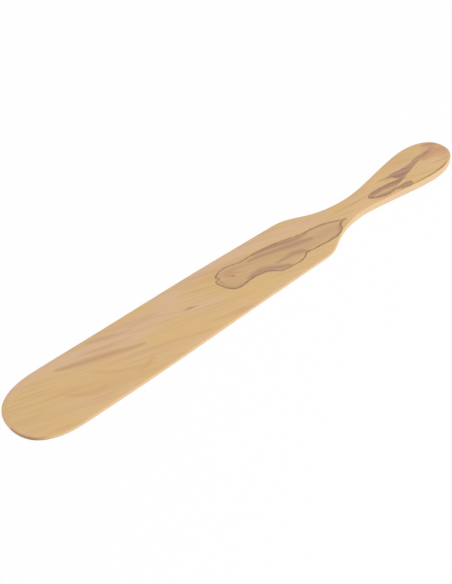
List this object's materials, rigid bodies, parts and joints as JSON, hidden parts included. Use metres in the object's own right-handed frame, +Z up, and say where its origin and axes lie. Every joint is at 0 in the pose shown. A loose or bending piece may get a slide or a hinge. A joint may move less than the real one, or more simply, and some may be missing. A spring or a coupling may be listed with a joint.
{
  "type": "crepe spatula",
  "caption": "Flat wooden turner carved from one piece: a long thin blade with a round tip, soft shoulders, a slim neck and a handle swelling to a round end.",
  "frame": {"origin": "on the flat underside, at the middle of the overall box's length and width", "axes": "+X along the length, from the blade's tip to the handle's end; +Y across the blade; +Z up, out of the crowned top face"},
  "size_m": [0.35, 0.047, 0.0063],
  "materials": {
    "wood": "fine sanded olive wood, lightly oiled, satin"
  },
  "bodies": {
    "root": {"spatula": "wood"}
  },
  "joints": []
}
